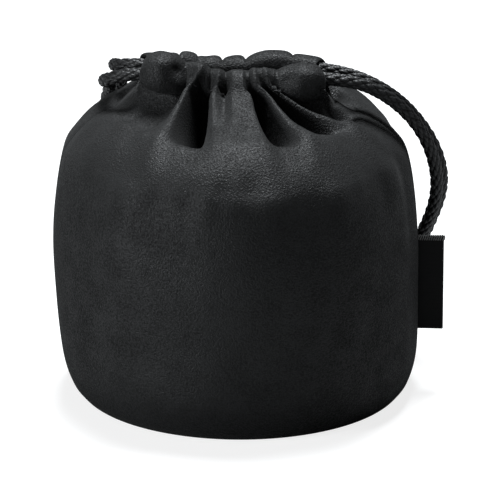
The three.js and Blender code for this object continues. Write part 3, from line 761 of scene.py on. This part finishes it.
def cloth_grid(side, columns, rows):
    """The sheet's points, rows by columns by 3, in mm."""
    share = np.linspace(0, 1, columns)
    pocket, ridge = outlines(side, share)
    shoulder = len(WALL) + len(SHOULDER) - 1
    hem = shoulder + len(NECK) + 1
    last = len(pocket) - 1
    where = np.interp(np.linspace(0, 1, rows), [0, WALL_SHARE, 1], [0, len(WALL) - 1, last])
    stages = np.interp(where, [shoulder, hem - 1, hem + 4], [0, 1, 2])
    folds = np.array([fold_height(FRONT_FOLDS if side < 0 else BACK_FOLDS, share, stage) for stage in stages])
    points = catmull(pocket, where)
    points += (catmull(ridge, where) - points) * folds[:, :, None]
    height = points[:, :, 2]
    up = where[:, None] * np.ones(columns)
    dents = soft_noise(side + 5, *DENT_CELLS, rows, columns)
    dents = dents * smooth(3, 20, height) * smooth(shoulder, shoulder - 3, up)
    wrinkles = soft_noise(side + 11, *WRINKLE_CELLS, rows, columns)
    wrinkles = wrinkles * smooth(7.5, 10, up) * smooth(hem - 2, hem - 4, up)
    seam = np.exp(-((share / SEAM_REACH) ** 2)) + np.exp(-(((1 - share) / SEAM_REACH) ** 2))
    move = (DENT * dents + WRINKLE * wrinkles) * off_the_seams(share, DENTS_START)
    move -= SEAM_DIP * seam * smooth(2, 8, height) * smooth(shoulder + 1, shoulder - 1, up)
    for x, y, z, radius, depth in HOLLOWS:
        away = np.linalg.norm(points - np.array([x, y, z]), axis=2)
        move -= depth * np.exp(-((away / radius) ** 2))
    return points + outward(points, side) * move[:, :, None]


def grid_mesh(name, points, flip):
    """A sheet of quads through a grid of points in mm."""
    rows, columns, _ = points.shape
    index = np.arange(rows * columns).reshape(rows, columns)
    quads = np.stack([index[:-1, :-1], index[:-1, 1:], index[1:, 1:], index[1:, :-1]], axis=-1).reshape(-1, 4)
    if flip:
        quads = quads[:, ::-1]
    mesh = bpy.data.meshes.new(name)
    mesh.from_pydata((points.reshape(-1, 3) * MM).tolist(), [], quads.tolist())
    mesh.polygons.foreach_set("use_smooth", [True] * len(mesh.polygons))
    return put(name, mesh)


def wall_of(piece, thickness):
    """Gives a sheet its thickness, inwards."""
    wall = piece.modifiers.new("thickness", "SOLIDIFY")
    wall.thickness = thickness * MM
    wall.offset = -1


front_cloth = cloth_grid(-1, COLUMNS, ROWS)
back_cloth = cloth_grid(1, COLUMNS, ROWS)
front = grid_mesh("front_suede", front_cloth, False)
back = grid_mesh("back_suede", back_cloth, True)
for sheet in (front, back):
    wall_of(sheet, CLOTH)
print("each sheet", COLUMNS * ROWS, "points")

# %% [markdown]
# The lining
#
# Inside the suede hangs a sleeve of thin smooth lining, sewn in at the hem and to a round lining base. It shows
# only through the mouth. It could be drawn from its own outlines, but the real one is pushed into the same folds
# by the suede. So its points are those of the suede, moved straight inwards by a little more than its thickness.

# %% Lining sleeve
LINING = 0.45
LINING_GAP = 0.15
LINING_ROWS = slice(26, 120, 2)


def merge(piece, distance=1e-5):
    """Closes the seams where two halves' points coincide."""
    mesh = bmesh.new()
    mesh.from_mesh(piece.data)
    bmesh.ops.remove_doubles(mesh, verts=mesh.verts, dist=distance)
    mesh.to_mesh(piece.data)
    mesh.free()


halves = []
for side, cloth in ((-1, front_cloth), (1, back_cloth)):
    inner = cloth - outward(cloth, side) * (CLOTH + LINING_GAP)
    inner = inner[LINING_ROWS, ::2]
    inner[:, [0, -1], 1] = 0
    halves.append(grid_mesh("lining_half", inner, side > 0))
lining = join("lining_cloth", halves)
merge(lining)
wall_of(lining, LINING)
print("lining", len(lining.data.polygons), "faces, from z", round(float(inner[0, :, 2].min()), 1), "mm")

# %% [markdown]
# The base
#
# The base is round and stiff, so the pouch stands. From below upwards it is a suede panel, a foam pad and a
# round of lining. All three are discs, and each follows from the outline of its half section, turned about the
# middle.

# %% Discs of the base
DISC_SIDES = 160


def disc(name, outline):
    """Turns a half section, radius and height in mm from axis to axis, about the upright axis."""
    angles = np.linspace(0, 2 * math.pi, DISC_SIDES, endpoint=False)
    mesh = bmesh.new()
    rings = []
    for radius, height in outline:
        turns = angles if radius else angles[:1]
        x = radius * np.cos(turns) + foot_shift(height)
        rings.append([mesh.verts.new((a * MM, radius * b * MM, height * MM)) for a, b in zip(x, np.sin(turns))])
    for lower, upper in zip(rings, rings[1:]):
        for i in range(DISC_SIDES):
            j = i + 1
            corners = [lower[i % len(lower)], lower[j % len(lower)], upper[j % len(upper)], upper[i % len(upper)]]
            mesh.faces.new(dict.fromkeys(corners))
    for face in mesh.faces:
        face.smooth = True
    data = bpy.data.meshes.new(name)
    mesh.to_mesh(data)
    mesh.free()
    return put(name, data)


base_suede = disc("base_suede", [
    (0, 0.12), (20, 0.08), (38, 0.02), (42, 0.0), (43.0, 0.2),
    (43.35, 0.6), (43.1, 1.0), (42, 1.2), (20, 1.2), (0, 1.2),
])
base_foam = disc("base_foam", [
    (0, 1.5), (30, 1.5), (42.4, 1.5), (43.1, 2.1), (43.1, 3.8), (42.3, 4.5), (30, 4.5), (0, 4.5),
])
lining_round = disc("lining_round", [
    (0, 4.8), (30, 4.8), (44.9, 4.8), (45.1, 5.1), (44.9, 5.4), (30, 5.4), (0, 5.4),
])

# %% [markdown]
# Inside the hem
#
# Between its two free strands each cord runs through both halves of the hem and turns round near the far seam.
# Nothing of that shows, but a look down the mouth or a cut through the hem would miss it. The line follows the
# middle of the hem's tube, so the cord and the cloth round it agree.

# %% Held loops
BIGHT_START = 16.0
BIGHT_REACH = 4.8
LOOP_START = 15.2
# Between these places the loop goes over from the hem's middle line to the line of the leads, this deep
LOOP_BEND = (9, 13)
LEAD_DEPTH = 4


def held_loop(name, pull, level):
    """The part of a cord inside the hem: out along the front, round the far seam, back along the back."""
    run = [LOOP_START, LOOP_START * 0.87, LOOP_START * 0.6, LOOP_START * 0.3, 0, -BIGHT_START / 2, -BIGHT_START]
    points = []

    def add(x, side, depth_share=1.0):
        hem_depth, middle, _, _ = hem_at(side, pull * x)
        at_lead = float(smooth(*LOOP_BEND, x))
        depth = hem_depth * (1 - at_lead) + LEAD_DEPTH * at_lead
        free = pass_height(pull * x * MM, level) / MM
        held = middle + level * CORD_SPACING / MM / 2
        points.append((pull * x * MM, side * depth * depth_share * MM, (held + (free - held) * at_lead) * MM))

    for x in run:
        add(x, -1)
    for i in range(1, 8):
        turn = math.pi * i / 8
        add(-BIGHT_START - BIGHT_REACH * math.sin(turn), -1 if i < 4 else 1, abs(math.cos(turn)))
    for x in reversed(run):
        add(x, 1)
    piece = grow(name + "_braid", line_object(smooth_path(points, easing=40)), braided_cord, black_nylon)
    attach(piece, "pouch")
    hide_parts(name)


held_loop("right_drawcord_loop", 1, 1)
held_loop("left_drawcord_loop", -1, -1)

# %% [markdown]
# Suede
#
# Synthetic suede is a mat of very fine fibres. It has no pattern, but the nap lies this way and that, so its
# tone and its gloss change from speck to speck. Two sizes of noise colour it, broad patches and the fine nap. The
# same noise varies the roughness, which breaks the lamps' soft highlights into grain, and the cloth is duller
# where it turns away. A strong sheen is the usual way to velvet, but it would turn the edges of black cloth
# grey, so only a trace of it is left.

# %% Suede finish


def suede_material(name, dark, light):
    material, tree, shader = new_material(name)
    where = place_on_piece(tree)
    patches = noise(tree, where, scale=130.0, detail=4.0)
    nap = noise(tree, where, scale=2000.0, detail=2.0, roughness=0.6)
    tone = choose(tree, 0.75, patches, nap)
    colour = colour_ramp(tree, tone, [(0.4, dark), (0.6, light)])
    facing = add_node(tree, "ShaderNodeLayerWeight", {"Blend": 0.5}).outputs["Facing"]
    grain = calculate(tree, "MULTIPLY", calculate(tree, "SUBTRACT", tone, 0.5), 1.4)
    dullness = calculate(tree, "SUBTRACT", choose(tree, facing, 0.5, 1.0), grain)
    paint(tree, shader, colour, dullness, specular=0.24)
    shader.inputs["Sheen Weight"].default_value = 0.02
    shader.inputs["Sheen Roughness"].default_value = 0.5
    bump_on(tree, shader, nap, strength=1.0, distance=0.0003)
    return material


LINING_THREAD = 0.0005


def lining_material():
    """A smooth plain weave, with threads too fine to see one by one."""
    material, tree, shader = new_material("lining_weave")
    where = place_on_piece(tree)
    threads = []
    for axis in add_node(tree, "ShaderNodeSeparateXYZ", {0: where}).outputs:
        threads.append(calculate(tree, "SINE", calculate(tree, "MULTIPLY", axis, 2 * math.pi / LINING_THREAD)))
    weave = calculate(tree, "ADD", calculate(tree, "ADD", threads[0], threads[1]), threads[2])
    slub = noise(tree, where, scale=220.0, detail=4.0)
    shade = colour_ramp(tree, slub, [(0.3, (0.008, 0.008, 0.009)), (0.7, (0.014, 0.014, 0.015))])
    paint(tree, shader, shade, roughness=0.5)
    bump_on(tree, shader, weave, strength=0.25, distance=0.00005)
    return material


def foam_material():
    """Closed-cell foam: small round cells."""
    material, tree, shader = new_material("black_foam")
    sizes = {"Vector": place_on_piece(tree), "Scale": 1600.0}
    cells = add_node(tree, "ShaderNodeTexVoronoi", sizes).outputs["Distance"]
    # Darkest where the bump sinks in the middle of each cell: painted shade in the cells' hollows.
    shade = colour_ramp(tree, cells, [(0.1, (0.02, 0.02, 0.021)), (0.7, (0.04, 0.04, 0.042))])
    paint(tree, shader, shade, roughness=0.9)
    bump_on(tree, shader, cells, strength=0.5, distance=0.0002)
    return material


suede = suede_material("suede", (0.0005, 0.0005, 0.0005), (0.0075, 0.0078, 0.008))
smooth_lining, black_foam = lining_material(), foam_material()
for piece, finish, slot, nodes in (
    (front, suede, "suede", ("front_panel", "front_channel")),
    (back, suede, "suede", ("back_panel", "back_channel")),
    (base_suede, suede, "suede", ("base_panel",)),
    (base_foam, black_foam, "foam", ("base_pad",)),
    (lining, smooth_lining, "lining", ("lining_sleeve",)),
    (lining_round, smooth_lining, "lining", ("lining_base",)),
):
    piece.data.materials.append(finish)
    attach(piece, "pouch")
    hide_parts(*nodes)

# %% [markdown]
# Stitches
#
# A row of stitches holds the hem down, and pale overlock stitches bind the top edge of the side tag. A stitch is
# always the same small arch of thread, so a tree sets one arch at every step of a line. It could turn each arch
# by the line alone, but on a curved cloth the arch must also stand upright on the cloth. So the line carries, at
# each point, the direction out of the cloth.

# %% Stitch tree
STITCH_SIZES = {"Spacing": 0.0026, "Length": 0.0019, "Thread": 0.0004, "Slant": 0.0}


def stitch_tree():
    tree, given = new_tree("stitches", STITCH_SIZES, "Line", "Row")
    curve = add_node(tree, "GeometryNodeMeshToCurve", {"Mesh": given["Line"]}).outputs[0]
    steps = add_node(tree, "GeometryNodeResampleCurve", {"Curve": curve, "Length": given["Spacing"]},
                     mode="LENGTH")
    half = calculate(tree, "MULTIPLY", given["Length"], 0.5)
    start = add_node(tree, "ShaderNodeCombineXYZ", {0: calculate(tree, "MULTIPLY", half, -1.0)}).outputs[0]
    top = add_node(tree, "ShaderNodeCombineXYZ", {2: given["Thread"]}).outputs[0]
    end = add_node(tree, "ShaderNodeCombineXYZ", {0: half}).outputs[0]
    arch = add_node(tree, "GeometryNodeCurveQuadraticBezier",
                    {"Resolution": 5, "Start": start, "Middle": top, "End": end})
    round_thread = add_node(tree, "GeometryNodeCurvePrimitiveCircle",
                            {"Resolution": 6, "Radius": calculate(tree, "MULTIPLY", given["Thread"], 0.5)})
    stitch = add_node(tree, "GeometryNodeCurveToMesh",
                      {"Curve": arch.outputs[0], "Profile Curve": round_thread.outputs[0], "Fill Caps": True})
    rounded = add_node(tree, "GeometryNodeSetShadeSmooth", {"Geometry": stitch.outputs[0]})
    tangent = add_node(tree, "GeometryNodeInputTangent").outputs[0]
    out = add_node(tree, "GeometryNodeInputNamedAttribute", {"Name": "out_of_cloth"}, data_type="FLOAT_VECTOR")
    along = add_node(tree, "FunctionNodeAlignRotationToVector", {"Vector": tangent}, axis="X")
    upright = add_node(tree, "FunctionNodeAlignRotationToVector",
                       {"Rotation": along.outputs[0], "Vector": out.outputs[0]}, axis="Z", pivot_axis="X")
    slant = add_node(tree, "FunctionNodeAxisAngleToRotation", {"Axis": (0, 0, 1), "Angle": given["Slant"]})
    turned = add_node(tree, "FunctionNodeRotateRotation",
                      {"Rotation": upright.outputs[0], "Rotate By": slant.outputs[0]}, rotation_space="LOCAL")
    row = add_node(tree, "GeometryNodeInstanceOnPoints",
                   {"Points": steps.outputs[0], "Instance": rounded.outputs[0], "Rotation": turned.outputs[0]})
    finish_tree(tree, row.outputs[0], given["Finish"])
    return tree


def thread_material(name, colour):
    material, tree, shader = new_material(name)
    fibres = noise(tree, place_on_piece(tree), scale=4000.0, detail=2.0)
    shade = colour_ramp(tree, fibres, [(0.3, tuple(0.7 * c for c in colour)), (0.7, colour)])
    paint(tree, shader, shade, roughness=0.55)
    bump_on(tree, shader, fibres, strength=0.4, distance=0.0001)
    return material


def stitch_line(points, out):
    """A line for the tree, in mm, with the direction out of the cloth at each point."""
    mesh = bpy.data.meshes.new("line")
    mesh.from_pydata((np.array(points) * MM).tolist(), [(i, i + 1) for i in range(len(points) - 1)], [])
    directions = mesh.attributes.new("out_of_cloth", "FLOAT_VECTOR", "POINT")
    directions.data.foreach_set("vector", np.array(out, float).ravel())
    return put("line", mesh)


stitches = stitch_tree()
black_thread = thread_material("black_thread", (0.012, 0.012, 0.013))
pale_thread = thread_material("pale_thread", (0.16, 0.16, 0.155))

# %% Hem stitches
HEM_STITCH_ROW = 135
# Columns at each seam that have no stitch, and how deep in mm the thread lies in the cloth
UNSTITCHED = 6
THREAD_SUNK = 0.04

for side, cloth, name in ((-1, front_cloth, "front_hem_stitches"), (1, back_cloth, "back_hem_stitches")):
    normals = outward(cloth, side)[HEM_STITCH_ROW, UNSTITCHED:-UNSTITCHED]
    row = cloth[HEM_STITCH_ROW, UNSTITCHED:-UNSTITCHED] - THREAD_SUNK * normals
    piece = grow(name, stitch_line(row, normals), stitches, black_thread, Length=0.0016, Thread=0.00022)
    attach(piece, "pouch")
    print(name, len(piece.data.polygons), "faces")

# %% [markdown]
# The side tag
#
# A short piece of woven satin ribbon is folded in half and caught in the side seam, so it stands out like a small
# flag. Its top edge is overlocked in pale thread. A flat box would have no fold. Here the ribbon is one strip
# that runs out from the seam, turns round and comes back, with a slight bow, and a thin wall makes it cloth.

# %% Side tag
TAG_SEAM, TAG_TIP = 50.5, 58.1
TAG_HEIGHTS = (17.2, 44.6)
RIBBON = 0.32
RIBBON_ROWS = 30
RIBBON_FOLD = 0.5
# The satin's ribs and floats, in metres
RIB, FLOAT = 0.0004, 0.0007


def ribbon_strip():
    """The strip's outline seen from above, x and y in mm: out, round the fold, and back."""
    turn = np.linspace(-math.pi / 2, math.pi / 2, 9)
    fold = np.column_stack([TAG_TIP - RIBBON_FOLD + RIBBON_FOLD * np.cos(turn), RIBBON_FOLD * np.sin(turn)])
    out = np.column_stack([np.linspace(TAG_SEAM, TAG_TIP - 0.6, 14), np.linspace(-0.22, -0.49, 14)])
    return np.vstack([out, fold, out[::-1] * [1, -1]])


def ribbon_points():
    heights = np.linspace(*TAG_HEIGHTS, RIBBON_ROWS)
    strip = ribbon_strip()
    rows = []
    for z in heights:
        share = (z - TAG_HEIGHTS[0]) / (TAG_HEIGHTS[1] - TAG_HEIGHTS[0])
        out = (strip[:, 0] - TAG_SEAM) / (TAG_TIP - TAG_SEAM)
        bow = out**2 * (0.35 * math.sin(3.1 * share) - 0.2)
        reach = strip[:, 0] + out * (0.25 * share - 0.1)
        rows.append(np.column_stack([reach, strip[:, 1] + bow, np.full(len(strip), z)]))
    return np.array(rows)


def satin_material():
    """Woven satin: fine ribs across the ribbon, each broken into floats."""
    material, tree, shader = new_material("black_satin")
    x, _, z = add_node(tree, "ShaderNodeSeparateXYZ", {0: place_on_piece(tree)}).outputs
    rib = calculate(tree, "SINE", calculate(tree, "MULTIPLY", z, 2 * math.pi / RIB))
    step = calculate(tree, "FLOOR", calculate(tree, "MULTIPLY", z, 1 / RIB))
    along = calculate(tree, "MULTIPLY", x, 2 * math.pi / FLOAT)
    floats = calculate(tree, "SINE", calculate(tree, "ADD", along, calculate(tree, "MULTIPLY", step, 2.1)))
    weave = calculate(tree, "ADD", rib, calculate(tree, "MULTIPLY", floats, 0.6))
    # The colour follows the weave's height, lighter on the ribs and floats and darker in the grooves between
    # them: painted shade in the grooves.
    light = calculate(tree, "MULTIPLY_ADD", weave, 0.25, 0.5)
    shade = colour_ramp(tree, light, [(0.1, (0.0012, 0.0012, 0.0013)), (0.9, (0.0034, 0.0034, 0.0036))])
    paint(tree, shader, shade, roughness=0.45, specular=0.12)
    bump_on(tree, shader, weave, strength=0.3, distance=0.00004)
    return material


ribbon = ribbon_points()
tag = grid_mesh("tag_ribbon", ribbon, False)
wall_of(tag, RIBBON)
tag.data.materials.append(satin_material())
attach(tag, "tag")
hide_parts("side_tag")

top_edge = ribbon[-1] + [0, 0, -0.5]
flat_out = outward(ribbon, -1)[-1]
overlock = grow("tag_overlock", stitch_line(top_edge + 0.05 * flat_out, flat_out), stitches, pale_thread,
                Spacing=0.00062, Length=0.0013, Thread=0.00034, Slant=math.radians(68))
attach(overlock, "tag")

# %% [markdown]
# Floor
#
# The pouch stands on a plain pale floor that is far larger than the picture, so that its edge never shows. A
# white floor would throw its light back up at the black cloth. So it is grey to the lamps, and only what the
# camera sees of it is lifted to white.

# %% Floor
HALF_FLOOR = 3
FLOOR_TONE = 0.29
FLOOR_LIFT = 0.8
corners = [(x * HALF_FLOOR, y * HALF_FLOOR, 0) for x, y in ((-1, -1), (1, -1), (1, 1), (-1, 1))]
floor_mesh = bpy.data.meshes.new("floor")
floor_mesh.from_pydata(corners, [], [(0, 1, 2, 3)])
floor = put("floor", floor_mesh)
floor_finish, floor_tree, floor_shader = new_material("pale_floor")
floor_shader.inputs["Base Color"].default_value = (FLOOR_TONE, FLOOR_TONE, FLOOR_TONE, 1)
floor_shader.inputs["Roughness"].default_value = 0.8
lit = add_node(floor_tree, "ShaderNodeLightPath").outputs["Is Camera Ray"]
strength = calculate(floor_tree, "MULTIPLY", lit, FLOOR_LIFT)
lift = add_node(floor_tree, "ShaderNodeEmission", {"Strength": strength}).outputs[0]
lifted = add_node(floor_tree, "ShaderNodeAddShader", {0: floor_shader.outputs[0], 1: lift}).outputs[0]
floor_tree.links.new(lifted, floor_tree.nodes["Material Output"].inputs["Surface"])
floor_mesh.materials.append(floor_finish)

# %% [markdown]
# Light
#
# Black suede shows mostly in its highlights. A tall soft lamp stands low on the left and draws a bright band down
# the wall. A stronger one hangs above and a little behind, and catches the ridges and the shoulder. The world
# adds a faint, slightly blue light, and is white to the camera.

# %% Lamps


def soft_lamp(name, azimuth, elevation, size, watts, distance=0.9):
    """A rectangular lamp that looks at the pouch. Azimuth 0 is the camera's side, and -90 is the left."""
    a, e = math.radians(azimuth), math.radians(elevation)
    away = Vector((math.sin(a) * math.cos(e), -math.cos(a) * math.cos(e), math.sin(e)))
    lamp = bpy.data.lights.new(name, "AREA")
    lamp.shape = "RECTANGLE"
    lamp.size, lamp.size_y = size
    lamp.energy = watts
    lamp.color = (0.93, 0.97, 1)
    holder = put(name, lamp)
    holder.location = Vector((0, 0, 0.05)) + away * distance
    holder.rotation_euler = away.to_track_quat("Z", "Y").to_euler()


soft_lamp("key", azimuth=-58, elevation=8, size=(0.22, 0.5), watts=7.4)
soft_lamp("top", azimuth=-10, elevation=103, size=(0.3, 0.3), watts=19)

# %% World
AMBIENT = 0.1
scene.view_settings.view_transform = "Standard"
world = bpy.data.worlds.new("world")
scene.world = world
world.use_nodes = True
world.node_tree.nodes.clear()
sky_tree = world.node_tree
bluish = {"Color": (0.96, 0.98, 1, 1), "Strength": AMBIENT}
ambient = add_node(sky_tree, "ShaderNodeBackground", bluish).outputs[0]
white = add_node(sky_tree, "ShaderNodeBackground", {"Color": (1, 1, 1, 1), "Strength": 1.0}).outputs[0]
seen = add_node(sky_tree, "ShaderNodeLightPath").outputs["Is Camera Ray"]
sky = add_node(sky_tree, "ShaderNodeMixShader", {0: seen, 1: ambient, 2: white}).outputs[0]
add_node(sky_tree, "ShaderNodeOutputWorld", {0: sky})
